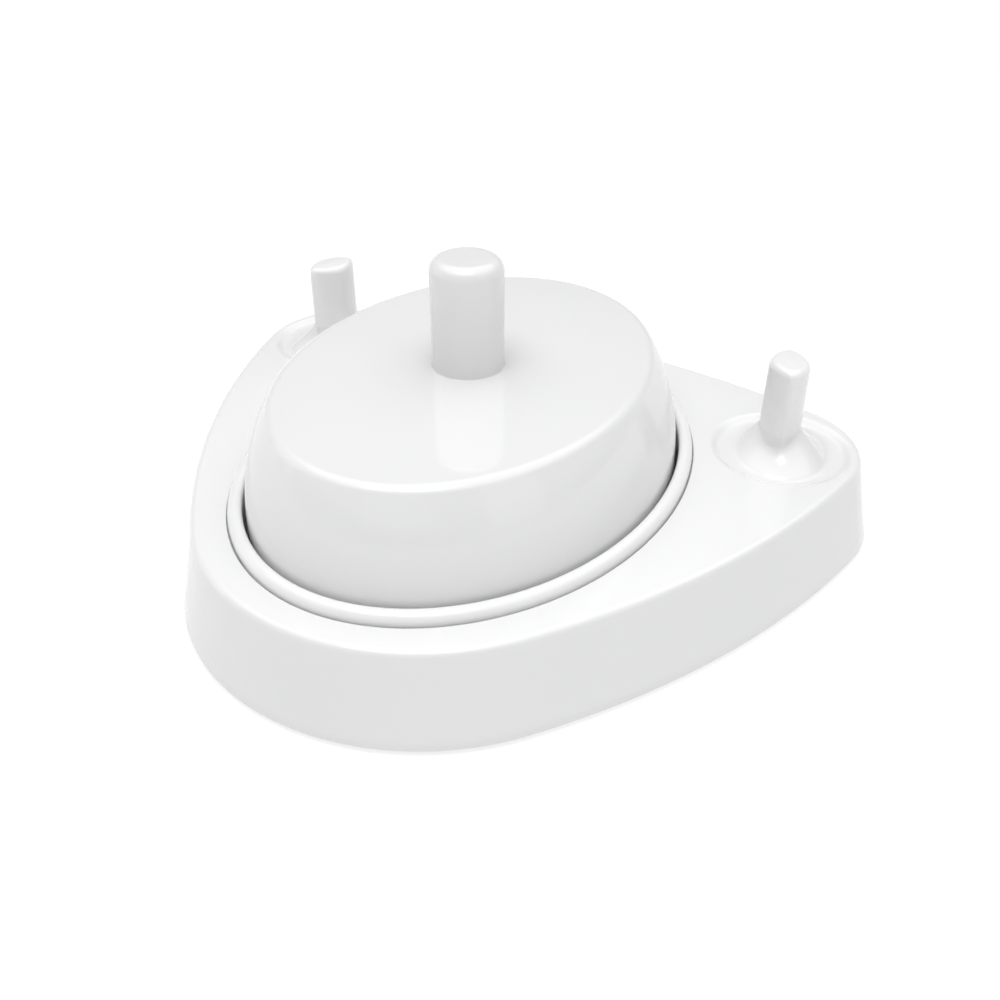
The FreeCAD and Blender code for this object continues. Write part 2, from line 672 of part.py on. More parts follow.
def make_charger_base():
    body = new_body("charger_base")
    plate = oval_sketch(body, "plate", "Sizes.puck_bottom",
                        "Sizes.puck_across - Sizes.skirt_wall - Sizes.fit_gap",
                        "Sizes.puck_along - Sizes.skirt_wall - Sizes.fit_gap")
    pad(body, plate, "Sizes.plate_thick")
    posts = circles_sketch(body, "board_posts", "Sizes.puck_bottom + Sizes.plate_thick - Sizes.bite",
                           same_radius(BOARD_SCREWS, "Sizes.post_foot_radius"))
    pad(body, posts, "Sizes.board_height - Sizes.puck_bottom - Sizes.plate_thick + Sizes.bite")
    pilots = circles_sketch(body, "board_pilots", "Sizes.board_height",
                            same_radius(BOARD_SCREWS, "Sizes.board_screw_radius"))
    pocket(body, pilots, "Sizes.board_height - Sizes.puck_bottom - 0.8")
    seats = circles_sketch(body, "pad_seats", "Sizes.puck_bottom",
                           pad_circles("Sizes.pad_radius + Sizes.socket_gap"))
    pocket(body, seats, "Sizes.pad_inset", upward=True)
    return body


def pad_circles(radius):
    """Four pads on the ledge's line, at the corners of the oval."""
    slant = math.radians(40)
    circles = []
    for across in (-1, 1):
        for along in (-1, 1):
            circles.append(("{:.4f} * Sizes.pad_across".format(across * math.cos(slant)),
                            "Sizes.well_along + {:.4f} * Sizes.pad_along".format(along * math.sin(slant)),
                            radius))
    return circles


def make_charger_pads():
    pads = []
    floor = BASE_TOP + " + Sizes.ledge_thick"
    for number, (across, along, radius) in enumerate(pad_circles("Sizes.pad_radius")):
        disc = doc.addObject("Part::Cylinder", "charger_pad_" + str(number))
        disc.setExpression("Radius", radius)
        disc.setExpression("Height", "Sizes.puck_bottom + Sizes.pad_inset - (" + floor + ")")
        disc.setExpression("Placement.Base.x", across)
        disc.setExpression("Placement.Base.y", along)
        disc.setExpression("Placement.Base.z", floor)
        pads.append(disc)
    group = doc.addObject("Part::Compound", "charger_feet")
    group.Links = pads
    keep(group, "charger_feet")


def make_cover_seal():
    body = new_body("cover_seal")
    outer = " - Sizes.skirt_wall - Sizes.fit_gap"
    inner = outer + " - Sizes.seal_width"
    height = "Sizes.puck_bottom + Sizes.plate_thick"
    ring = oval_sketch(body, "seal_outer", height, "Sizes.puck_across" + outer, "Sizes.puck_along" + outer)
    pad(body, ring, "Sizes.seal_thick")
    hole = oval_sketch(body, "seal_inner", height + " + Sizes.seal_thick",
                       "Sizes.puck_across" + inner, "Sizes.puck_along" + inner)
    pocket(body, hole, "Sizes.seal_thick")
    return body


def make_coil_set():
    """Ferrite rod in the post, bobbin round it and the winding between the bobbin's flanges."""
    core = doc.addObject("Part::Cylinder", "ferrite_core")
    core.setExpression("Radius", "Sizes.core_radius")
    core.setExpression("Height", "Sizes.core_top - Sizes.core_bottom")
    core.setExpression("Placement.Base.y", "Sizes.well_along")
    core.setExpression("Placement.Base.z", "Sizes.core_bottom")
    keep(core, "ferrite_core")

    body = new_body("coil_bobbin")
    axis = ("0", "Sizes.well_along")
    tube = circles_sketch(body, "bobbin_tube", "Sizes.core_bottom", [axis + ("Sizes.tube_radius",)])
    pad(body, tube, "Sizes.tube_top - Sizes.core_bottom")
    for name, height in (("low", "Sizes.flange_low"), ("high", "Sizes.flange_high")):
        flange = circles_sketch(body, "flange_" + name, height, [axis + ("Sizes.flange_radius",)])
        pad(body, flange, "Sizes.flange_thick")
    legs = circles_sketch(body, "bobbin_legs", "Sizes.flange_low + Sizes.bite",
                          [("-Sizes.leg_across", "Sizes.well_along", "Sizes.leg_radius"),
                           ("Sizes.leg_across", "Sizes.well_along", "Sizes.leg_radius")])
    pad(body, legs, "Sizes.flange_low + Sizes.bite - (" + BOARD_TOP + ")", downward=True)
    bore = circles_sketch(body, "bobbin_bore", "Sizes.tube_top",
                          [axis + ("Sizes.core_radius + Sizes.socket_gap",)])
    pocket(body, bore, "Sizes.tube_top - Sizes.core_bottom")

    coil = new_body("primary_coil")
    wound = circles_sketch(coil, "winding", "Sizes.flange_low + Sizes.flange_thick",
                           [axis + ("Sizes.winding_radius",)])
    pad(coil, wound, "Sizes.flange_high - Sizes.flange_low - Sizes.flange_thick")
    middle = circles_sketch(coil, "winding_middle", "Sizes.flange_high",
                            [axis + ("Sizes.tube_radius + Sizes.socket_gap",)])
    pocket(coil, middle, "Sizes.flange_high - Sizes.flange_low")


def make_circuit_board():
    body = new_body("circuit_board")
    board = box_sketch(body, "board", "Sizes.board_height", "-0.5 * Sizes.board_across",
                       "0.5 * Sizes.board_across", "Sizes.well_along - 0.5 * Sizes.board_along",
                       "Sizes.well_along + 0.5 * Sizes.board_along")
    pad(body, board, "Sizes.board_thick")
    holes = circles_sketch(body, "board_holes", BOARD_TOP,
                           same_radius(BOARD_SCREWS, "Sizes.board_screw_radius + Sizes.fit_gap"))
    pocket(body, holes, "Sizes.board_thick")
    beyond = measure("0.5 * Sizes.board_across") - 0.1
    fillet(body, "Sizes.board_corner", lambda edge: edge.BoundBox.ZLength > 1
           and edge.BoundBox.XLength < 0.01 and abs(edge.BoundBox.XMin) > beyond)
    return body


def make_board_screws():
    screws = []
    for number, (across, along) in enumerate(BOARD_SCREWS):
        head = doc.addObject("Part::Cylinder", "board_screw_head_" + str(number))
        head.setExpression("Radius", "2 * Sizes.board_screw_radius")
        head.setExpression("Height", "1.1")
        head.setExpression("Placement.Base.z", BOARD_TOP)
        shank = doc.addObject("Part::Cylinder", "board_screw_shank_" + str(number))
        shank.setExpression("Radius", "Sizes.board_screw_radius - Sizes.socket_gap")
        shank.setExpression("Height", "4")
        shank.setExpression("Placement.Base.z", BOARD_TOP + " - 3.2")
        for solid in (head, shank):
            solid.setExpression("Placement.Base.x", across)
            solid.setExpression("Placement.Base.y", along)
        screw = doc.addObject("Part::Fuse", "board_screw_" + str(number))
        screw.Base = head
        screw.Tool = shank
        screws.append(screw)
    group = doc.addObject("Part::Compound", "board_screws")
    group.Links = screws
    keep(group, "board_screws")


def stand_cylinder(label, across, along, radius, height):
    can = doc.addObject("Part::Cylinder", label)
    can.Radius = radius
    can.Height = height
    can.setExpression("Placement.Base.x", str(across))
    can.setExpression("Placement.Base.y", "Sizes.well_along + " + str(along))
    can.setExpression("Placement.Base.z", BOARD_TOP)
    return can


def stand_box(label, across, along, wide, deep, tall, lift=0.0):
    """A block on the board, centred at across and along."""
    block = doc.addObject("Part::Box", label)
    block.Length = wide
    block.Width = deep
    block.Height = tall
    block.setExpression("Placement.Base.x", str(across - wide / 2))
    block.setExpression("Placement.Base.y", "Sizes.well_along + " + str(along - deep / 2))
    block.setExpression("Placement.Base.z", BOARD_TOP + " + " + str(lift))
    return block


def joined(label, solids):
    fused = doc.addObject("Part::MultiFuse", label)
    fused.Shapes = solids
    return keep(fused, label)


def make_components():
    """The parts on the board: each stands clear of the coil's flange."""
    can = stand_cylinder("capacitor_can", 0, -16, 5.0, 13.5)
    rounded = doc.addObject("Part::Fillet", "smoothing_capacitor")
    rounded.Base = can
    doc.recompute()
    top_edges = [number for number, edge in enumerate(can.Shape.Edges, start=1)
                 if edge.BoundBox.ZLength < 0.01 and edge.BoundBox.ZMin > can.Shape.BoundBox.Center.z]
    rounded.Edges = [(number, 0.6, 0.6) for number in top_edges]
    keep(rounded, "smoothing_capacitor")

    film = [stand_box("film_body", 10.5, 13.5, 5.5, 8.0, 8.5, 0.4)]
    film += [stand_box("film_leg_" + str(n), 10.5, 13.5 + place, 0.6, 0.6, 0.6)
             for n, place in enumerate((-3.0, 3.0))]
    joined("film_capacitor", film)

    foot = stand_cylinder("choke_foot", -9.5, 14.5, 3.8, 1.0)
    middle = stand_cylinder("choke_body", -9.5, 14.5, 3.2, 8.0)
    head = stand_cylinder("choke_head", -9.5, 14.5, 3.8, 1.0)
    head.setExpression("Placement.Base.z", BOARD_TOP + " + 7.5")
    joined("input_choke", [foot, middle, head])

    bridge = [stand_box("bridge_body", 10.5, -10.5, 6.4, 8.2, 2.6, 0.3)]
    for n, (across, along) in enumerate(((-1, -1), (-1, 1), (1, -1), (1, 1))):
        bridge.append(stand_box("bridge_leg_" + str(n), 10.5 + 3.4 * across, -10.5 + 2.5 * along,
                                1.2, 1.2, 0.8))
    joined("bridge_rectifier", bridge)

    transistor = [stand_box("transistor_body", -11.0, -12.0, 4.2, 9.0, 9.0, 2.5)]
    transistor += [stand_box("transistor_leg_" + str(n), -11.0, -12.0 + place, 0.6, 0.9, 3.0)
                   for n, place in enumerate((-2.5, 0.0, 2.5))]
    joined("switching_transistor", transistor)

    barrel = doc.addObject("Part::Cylinder", "resistor_barrel")
    barrel.Radius = 1.6
    barrel.Height = 8.0
    barrel.Placement = FreeCAD.Placement(FreeCAD.Vector(), FreeCAD.Rotation(FreeCAD.Vector(0, 1, 0), 90))
    barrel.setExpression("Placement.Base.x", "-4")
    barrel.setExpression("Placement.Base.y", "Sizes.well_along + 15")
    barrel.setExpression("Placement.Base.z", BOARD_TOP + " + 2.2")
    leads = [stand_box("resistor_lead_" + str(n), place, 15.0, 0.7, 0.7, 2.5)
             for n, place in enumerate((-4.2, 4.2))]
    joined("fusible_resistor", [barrel] + leads)

    chips = [stand_box("chip_" + str(n), across, along, 1.6, 3.2, 0.6) for n, (across, along) in
             enumerate(((-3.5, -6.5), (0.0, -6.5), (3.5, -6.5), (-11.0, -1.5), (11.0, 1.5)))]
    group = doc.addObject("Part::Compound", "chip_resistors")
    group.Links = chips
    keep(group, "chip_resistors")

    lugs = [stand_box("lug_" + str(n), across, 21.5, 2.4, 1.0, 3.0) for n, across in enumerate((-3.5, 3.5))]
    group = doc.addObject("Part::Compound", "solder_lugs")
    group.Links = lugs
    keep(group, "solder_lugs")


def check_and_export():
    doc.recompute()
    for thing in doc.Objects:
        faults = [word for word in thing.State if word in ("Invalid", "Error")]
        if faults:
            raise RuntimeError(thing.Name + " failed: " + str(faults))
    for piece in finished:
        shape = piece.Shape
        if shape.isNull() or not shape.isValid() or not shape.Solids:
            raise RuntimeError(piece.Label + " has no valid solid")
    os.makedirs("parts", exist_ok=True)
    for piece in finished:
        piece.Shape.exportStep("parts/" + piece.Label + ".step")
        print(piece.Label, len(piece.Shape.Solids), round(piece.Shape.Volume, 1))


make_tray_shell()
make_well_ring()
make_pegs()
make_tray_base()
make_feet()
make_tray_screws()
make_charger_cover()
make_charger_base()
make_cover_seal()
make_charger_pads()
make_coil_set()
make_circuit_board()
make_board_screws()
make_components()
check_and_export()
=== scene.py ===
import json
import math

import bmesh
import bpy
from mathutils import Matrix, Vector


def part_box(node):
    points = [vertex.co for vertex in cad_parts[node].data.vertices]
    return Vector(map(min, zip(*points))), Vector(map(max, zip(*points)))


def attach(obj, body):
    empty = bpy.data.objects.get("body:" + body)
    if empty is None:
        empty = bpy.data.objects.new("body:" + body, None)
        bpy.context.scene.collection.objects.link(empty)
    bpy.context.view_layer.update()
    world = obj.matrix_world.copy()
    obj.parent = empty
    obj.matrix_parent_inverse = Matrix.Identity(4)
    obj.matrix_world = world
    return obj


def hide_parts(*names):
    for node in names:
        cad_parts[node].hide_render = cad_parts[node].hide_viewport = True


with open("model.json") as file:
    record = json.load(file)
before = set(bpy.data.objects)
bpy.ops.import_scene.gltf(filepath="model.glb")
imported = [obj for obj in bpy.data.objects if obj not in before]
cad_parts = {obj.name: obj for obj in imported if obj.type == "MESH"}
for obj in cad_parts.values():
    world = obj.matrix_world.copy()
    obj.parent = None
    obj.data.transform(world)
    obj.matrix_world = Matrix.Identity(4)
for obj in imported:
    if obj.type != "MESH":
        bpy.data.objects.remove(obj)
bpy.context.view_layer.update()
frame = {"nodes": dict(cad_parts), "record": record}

# Charging stand for an electric toothbrush. Shapes are worked out in millimetres from the CAD
# nodes' boxes and a few driving sizes, and become metres where a mesh is made.

MM = 0.001
TURN = 2 * math.pi
QUARTER = math.pi / 2
FINE = 288


def millimetres(node):
    low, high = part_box(node)
    return low / MM, high / MM


# ---------------------------------------------------------------- sizes

SHELL_LOW, SHELL_HIGH = millimetres("tray_shell")
RING_LOW, RING_HIGH = millimetres("well_ring")
COVER_LOW, COVER_HIGH = millimetres("charger_cover")
BASE_LOW, BASE_HIGH = millimetres("tray_base")
PEG_LOW, PEG_HIGH = millimetres("head_peg_right")
FOOT_TOP = millimetres("foot_front")[1].z

DECK = 13.6
FLARE = 2.8
FRONT_RADIUS = 32.0
SIDE_RADIUS = 120.0
CORNER_RADIUS = 13.6
BACK_RADIUS = 134.5
EDGE_ROUND = 0.9
SHELL_WALL = 2.0
ROOF = DECK - 2.2
RIM_ROUND = 0.3

FRONT_Y = SHELL_LOW.y + FLARE + FRONT_RADIUS
CORNER_X = SHELL_HIGH.x - FLARE - CORNER_RADIUS
BACK_REACH = math.sqrt((BACK_RADIUS - CORNER_RADIUS) ** 2 - CORNER_X ** 2)
CORNER_Y = SHELL_HIGH.y - FLARE - BACK_RADIUS + BACK_REACH

RIM_WIDTH = 2.0
LINER_WALL = 1.0
WELL_Y = (RING_LOW.y + RING_HIGH.y) / 2
LINER = (RING_HIGH.x - RIM_WIDTH, RING_HIGH.y - WELL_Y - RIM_WIDTH)

PEG_X = 38.6
PEG_Y = 23.55
PEG_TURN = math.radians(20)
PEG_WIDE = 2.95
PEG_LONG = 4.2
PEG_POWER = 1.55
PEG_SEAM = SHELL_HIGH.z
DISH_X = 39.25
DISH_RADIUS = 10.3
DISH_DEPTH = 0.65
SHANK_RADIUS = 1.8
SOCKET_WALL = 1.8
SOCKET_FLOOR = 7.0
FOOT_BASE = (6.2, 7.75)
FOOT_LIMIT = 0.6
FOOT_BEND = 1.8

PUCK = (COVER_HIGH.x, COVER_HIGH.y - WELL_Y)
PUCK_BOTTOM = COVER_LOW.z
PUCK_SHOULDER = 13.0
PUCK_TOP = 28.4
PUCK_SIDE_RADIUS = 28.8
PUCK_ROUND = 1.6
POST_RADIUS = 4.95
POST_TOP = COVER_HIGH.z
POST_WALL = 1.4

NOTCH_HALF = 3.2
NOTCH_TOP = 10.9
INLET_Z = 8.6
INLET_RADIUS = 1.7

CAMERA_AZIMUTH = math.radians(27.4)
CAMERA_ELEVATION = math.radians(34.345)
CAMERA_DISTANCE = 170.46
CAMERA_TARGET = Vector((-0.08, 10.245, 0))
CAMERA_LENS = 38.79


# ---------------------------------------------------------------- outlines

def arc(centre, radius, start, end, count):
    """Points along an arc, the last one left out."""
    points = []
    for step in range(count):
        angle = start + (end - start) * step / count
        points.append((centre[0] + radius * math.cos(angle), centre[1] + radius * math.sin(angle)))
    return points


def side_centre():
    """Centre of the right side's long arc, tangent to the front arc and the corner arc."""
    front = Vector((0, FRONT_Y))
    corner = Vector((CORNER_X, CORNER_Y))
    line = corner - front
    gap = line.length
    line.normalize()
    first = SIDE_RADIUS - FRONT_RADIUS
    second = SIDE_RADIUS - CORNER_RADIUS
    run = (first ** 2 - second ** 2 + gap ** 2) / (2 * gap)
    rise = math.sqrt(first ** 2 - run ** 2)
    return front + line * run + Vector((-line.y, line.x)) * rise


def tray_outline(spread):
    """The tray's outline at deck level, moved outwards by spread: six arcs, counterclockwise."""
    side = side_centre()
    low = math.atan2(FRONT_Y - side.y, -side.x)
    turn = math.atan2(CORNER_Y - side.y, CORNER_X - side.x)
    back_y = CORNER_Y - BACK_REACH
    over = math.atan2(CORNER_Y - back_y, CORNER_X)
    points = arc((0, FRONT_Y), FRONT_RADIUS + spread, -math.pi - low, low, 96)
    points += arc(side, SIDE_RADIUS + spread, low, turn, 40)
    points += arc((CORNER_X, CORNER_Y), CORNER_RADIUS + spread, turn, over, 56)
    points += arc((0, back_y), BACK_RADIUS + spread, over, math.pi - over, 64)
    points += arc((-CORNER_X, CORNER_Y), CORNER_RADIUS + spread, math.pi - over, math.pi - turn, 56)
    points += arc((-side.x, side.y), SIDE_RADIUS + spread, math.pi - turn, math.pi - low, 40)
    return points


def oval(size, spread, count=240):
    """An oval round the well's centre, long along Y."""
    across, along = size
    return [((across + spread) * math.cos(TURN * step / count),
             WELL_Y + (along + spread) * math.sin(TURN * step / count)) for step in range(count)]


def circle(centre, radius, count=96):
    return arc(centre, radius, 0, TURN, count)


def cross(centre, arm, half):
    """A cross of four equal arms, counterclockwise."""
    quarter = [(arm, -half), (arm, half), (half, half)]
    points = []
    for turn in range(4):
        c, s = (1, 0, -1, 0)[turn], (0, 1, 0, -1)[turn]
        points += [(centre[0] + x * c - y * s, centre[1] + x * s + y * c) for x, y in quarter]
    return points


def pillow(side, half_wide, half_long, power, middle=PEG_X, count=96):
    """A section round a peg's axis: an oval at power 2, a rounded diamond below it."""
    lean = side * PEG_TURN
    points = []
    for step in range(count):
        angle = TURN * step / count
        c, s = math.cos(angle), math.sin(angle)
        reach = (abs(c / half_wide) ** power + abs(s / half_long) ** power) ** (-1 / power)
        x, y = reach * c, reach * s
        points.append((side * middle + x * math.cos(lean) - y * math.sin(lean),
                       PEG_Y + x * math.sin(lean) + y * math.cos(lean)))
    return points


def rounded(centre, radius, start, end, steps):
    """Profile points (spread, height) round an arc in a section."""
    angles = [start + (end - start) * step / steps for step in range(steps + 1)]
    return [(centre[0] + radius * math.cos(angle), centre[1] + radius * math.sin(angle)) for angle in angles]


# ---------------------------------------------------------------- mesh building

class Solid:
    """A mesh under construction, from loops of points in millimetres."""

    def __init__(self):
        self.mesh = bmesh.new()

    def loop(self, outline, height):
        return [self.mesh.verts.new((x * MM, y * MM, height * MM)) for x, y in outline]

    def band(self, first, second):
        count = len(first)
        for number in range(count):
            after = (number + 1) % count
            self.mesh.faces.new((first[number], first[after], second[after], second[number]))

    def skin(self, loops):
        for number in range(len(loops) - 1):
            self.band(loops[number], loops[number + 1])
        return loops[0], loops[-1]

    def cap(self, loop, height, rings=4):
        """Close a loop with shrinking rings and a middle point at a height."""
        middle = Vector((0, 0, 0))
        for vertex in loop:
            middle += vertex.co / len(loop)
        middle.z = height * MM
        last = loop
        for ring in range(1, rings):
            share = ring / rings
            inner = [self.mesh.verts.new(vertex.co.lerp(middle, share)) for vertex in loop]
            self.band(last, inner)
            last = inner
        centre = self.mesh.verts.new(middle)
        for number in range(len(last)):
            self.mesh.faces.new((last[number], last[(number + 1) % len(last)], centre))

    def fill(self, loops):
        """Fill a flat stretch between loops that lie at one height."""
        edges = []
        for loop in loops:
            for number in range(len(loop)):
                pair = (loop[number], loop[(number + 1) % len(loop)])
                edges.append(self.mesh.edges.get(pair) or self.mesh.edges.new(pair))
        bmesh.ops.triangle_fill(self.mesh, use_beauty=True, use_dissolve=False, edges=edges)

    def piece(self, name, sharp=40):
        bmesh.ops.recalc_face_normals(self.mesh, faces=self.mesh.faces)
        data = bpy.data.meshes.new(name)
        self.mesh.to_mesh(data)
        self.mesh.free()
        data.shade_smooth()
        data.set_sharp_from_angle(angle=math.radians(sharp))
        made = bpy.data.objects.new(name, data)
        bpy.context.scene.collection.objects.link(made)
        return made


def cut(piece, cutter, sharp=40):
    """Take the cutter's space out of a piece and throw the cutter away."""
    modifier = piece.modifiers.new("cut", "BOOLEAN")
    modifier.object = cutter
    modifier.operation = "DIFFERENCE"
    modifier.solver = "EXACT"
    ready = piece.evaluated_get(bpy.context.evaluated_depsgraph_get())
    data = bpy.data.meshes.new_from_object(ready)
    piece.modifiers.clear()
    old = piece.data
    piece.data = data
    data.name = piece.name
    bpy.data.meshes.remove(old)
    bpy.data.objects.remove(cutter)
    data.set_sharp_from_angle(angle=math.radians(sharp))
    return piece


def bar(profile, front, back, name):
    """A closed bar along Y with a section of (across, height) points."""
    work = bmesh.new()
    ends = []
    for y in (front, back):
        ends.append([work.verts.new((x * MM, y * MM, z * MM)) for x, z in profile])
    count = len(profile)
    for number in range(count):
        after = (number + 1) % count
        work.faces.new((ends[0][number], ends[0][after], ends[1][after], ends[1][number]))
    work.faces.new(ends[0])
    work.faces.new(ends[1])
    return from_bmesh(work, name)


def slot_cutter(front, back):
    """A slot along Y, open downwards, with rounded upper corners."""
    corner = 1.0
    profile = [(-NOTCH_HALF, -2.0), (NOTCH_HALF, -2.0)]
    profile += rounded((NOTCH_HALF - corner, NOTCH_TOP - corner), corner, 0, QUARTER, 6)
    profile += rounded((corner - NOTCH_HALF, NOTCH_TOP - corner), corner, QUARTER, math.pi, 6)
    return bar(profile, front, back, "slot_cutter")


def bore_cutter(front, back):
    """A round bore along Y at the cord inlet."""
    return bar(circle((0, INLET_Z), INLET_RADIUS, 48), front, back, "bore_cutter")


def from_bmesh(work, name):
    bmesh.ops.recalc_face_normals(work, faces=work.faces)
    data = bpy.data.meshes.new(name)
    work.to_mesh(data)
    work.free()
    made = bpy.data.objects.new(name, data)
    bpy.context.scene.collection.objects.link(made)
    return made


# ---------------------------------------------------------------- tray pieces

TRAY_SCREWS = [(side * x, y) for x, y in ((36.0, -3.0), (29.0, 33.0)) for side in (-1, 1)]
BOSS_RADIUS = 2.6
PILOT_RADIUS = 1.2
PILOT_DEPTH = 7.0
HEAD_RADIUS = 2.3
# Radius and height of a screw from its face to its tip, then its recess: arm, half width, start, end.
SCREW_SECTIONS = ((1.7, 0.05), (2.1, 0.12), (2.27, 0.3), (HEAD_RADIUS, 0.5), (HEAD_RADIUS, 0.92),
                  (1.15, 0.95), (1.15, 6.9), (0.5, 7.9))
SCREW_RECESS = (1.35, 0.28, -0.5, 0.55)
BASE_OPENING = (20.0, 28.0)
FOOT_RADIUS = 4.5
FEET = ((0.0, -35.5), (-36.0, 24.0), (36.0, 24.0))


def deck_rounding():
    """The round between the leaning wall and the deck, as (spread, height) from low to high."""
    lean = math.atan2(FLARE, DECK - SHELL_LOW.z)
    centre = (-(1 - math.sin(lean)) / math.cos(lean) * EDGE_ROUND, DECK - EDGE_ROUND)
    return rounded(centre, EDGE_ROUND, lean, QUARTER, 10)


def dish_profile():
    """Dish round a peg's foot: (half wide, half long, height) from the deck inwards."""
    stages = [(DISH_RADIUS + 0.15, DISH_RADIUS + 0.15, DECK), (DISH_RADIUS, DISH_RADIUS, DECK)]
    floor = DECK - DISH_DEPTH
    for step in range(1, 9):
        share = step / 8
        radius = DISH_RADIUS - 1.5 * share
        stages.append((radius, radius, DECK - DISH_DEPTH * share * share * (3 - 2 * share)))
    stages.append((7.6, 8.45, floor))
    for wider, lift in ((0.65, 0.02), (0.3, 0.1)):
        stages.append((FOOT_BASE[0] + wider, FOOT_BASE[1] + 0.6 * wider, floor + lift))
    return stages


def foot_outline(side, share):
    """An outline up a peg's foot: the flanks run straight to the seam, front and back draw in lower."""
    points = []
    base = pillow(side, *FOOT_BASE, 2.0, DISH_X)
    for low, high in zip(base, pillow(side, PEG_WIDE, PEG_LONG, PEG_POWER)):
        away = math.atan2(high[1] - PEG_Y, high[0] - side * PEG_X)
        flank = math.cos(away) ** 2
        rest = 1 - min(1.0, share / (FOOT_LIMIT + (1 - FOOT_LIMIT) * flank))
        shrink = 1 - rest ** (FOOT_BEND - (FOOT_BEND - 1) * flank)
        points.append((low[0] + (high[0] - low[0]) * shrink, low[1] + (high[1] - low[1]) * shrink))
    return points


def make_tray_shell():
    solid = Solid()
    low = SHELL_LOW.z
    lean = FLARE / (DECK - low)
    outer = [(0.16 * FLARE - SHELL_WALL, ROOF), (FLARE - SHELL_WALL, low + RIM_ROUND)]
    inner_rim = (FLARE - SHELL_WALL + RIM_ROUND, low + RIM_ROUND)
    outer += rounded(inner_rim, RIM_ROUND, math.pi, 1.5 * math.pi, 5)[1:]
    outer += rounded((FLARE - RIM_ROUND, low + RIM_ROUND), RIM_ROUND, -QUARTER, 0, 5)
    wall_top = deck_rounding()[0]
    for share in (0.1, 0.35, 0.65, 0.9):
        height = low + RIM_ROUND + (wall_top[1] - low - RIM_ROUND) * share
        outer.append((FLARE - lean * (height - low), height))
    outer += deck_rounding()
    outer.append((outer[-1][0] - 0.05, DECK))
    loops = [solid.loop(tray_outline(spread), height) for spread, height in outer]
    inside, deck_edge = solid.skin(loops)

    seat = 0.2
    well = [(RIM_WIDTH + seat + 0.3, DECK)]
    well += rounded((RIM_WIDTH + seat + 0.1, DECK - 0.1), 0.1, QUARTER, math.pi, 4)
    well += [(RIM_WIDTH + seat, DECK - 0.98), (LINER_WALL + 0.2, DECK - 1.0), (LINER_WALL + 0.2, ROOF)]
    well_top, well_low = solid.skin([solid.loop(oval(LINER, spread), height) for spread, height in well])

    deck_holes = [well_top]
    roof_holes = [well_low]
    for side in (-1, 1):
        stages = [solid.loop(pillow(side, wide, long, 2.0, DISH_X), height)
                  for wide, long, height in dish_profile()]
        root = DECK - DISH_DEPTH + 0.3
        for step in range(25):
            stages.append(solid.loop(foot_outline(side, step / 24), root + (PEG_SEAM - root) * step / 24))
        centre = (side * PEG_X, PEG_Y)
        lean_angle = side * PEG_TURN
        bore, boss = SHANK_RADIUS + 0.05, SHANK_RADIUS + SOCKET_WALL
        for radius, height in ((bore, PEG_SEAM), (bore, SOCKET_FLOOR), (boss, SOCKET_FLOOR), (boss, ROOF)):
            stages.append(solid.loop(arc(centre, radius, lean_angle, lean_angle + TURN, 96), height))
        top, bottom = solid.skin(stages)
        deck_holes.append(top)
        roof_holes.append(bottom)
    solid.fill([deck_edge] + deck_holes)

    for centre in TRAY_SCREWS:
        foot = BASE_HIGH.z
        boss = ((BOSS_RADIUS, ROOF), (BOSS_RADIUS, foot), (PILOT_RADIUS, foot),
                (PILOT_RADIUS, foot + PILOT_DEPTH))
        stages = [solid.loop(circle(centre, radius, 40), height) for radius, height in boss]
        top, bottom = solid.skin(stages)
        roof_holes.append(top)
        solid.cap(bottom, foot + PILOT_DEPTH, rings=1)
    solid.fill([inside] + roof_holes)
    shell = solid.piece("tray_shell_skin")
    return cut(shell, slot_cutter(LINER[1] + WELL_Y + 0.5, SHELL_HIGH.y + 2))


def rim_profile():
    """Closed section of the well's liner as (spread, height), clockwise from the ledge's lip."""
    foot = RING_LOW.z
    ledge = foot + 1.0
    top = RING_HIGH.z
    seat = DECK - 1.0
    section = [(-7.2, foot), (-7.2, ledge - 0.15), (-7.05, ledge), (-0.4, ledge), (-0.12, ledge + 0.12),
               (0.0, ledge + 0.4), (0.0, 8.0), (0.0, 12.5)]
    inner = 0.75
    outer = RIM_WIDTH - inner - 0.1
    section += rounded((inner, top - inner), inner, math.pi, QUARTER, 10)
    section += rounded((inner + 0.1, top - outer), outer, QUARTER, 0, 14)
    section += [(RIM_WIDTH, seat + 0.1), (RIM_WIDTH - 0.1, seat), (LINER_WALL, seat), (LINER_WALL, foot)]
    return section


def make_well_ring():
    solid = Solid()
    loops = [solid.loop(oval(LINER, spread, FINE), height) for spread, height in rim_profile()]
    solid.skin(loops)
    solid.band(loops[-1], loops[0])
    ring = solid.piece("well_liner")
    return cut(ring, slot_cutter(LINER[1] - 12, SHELL_HIGH.y + 2))


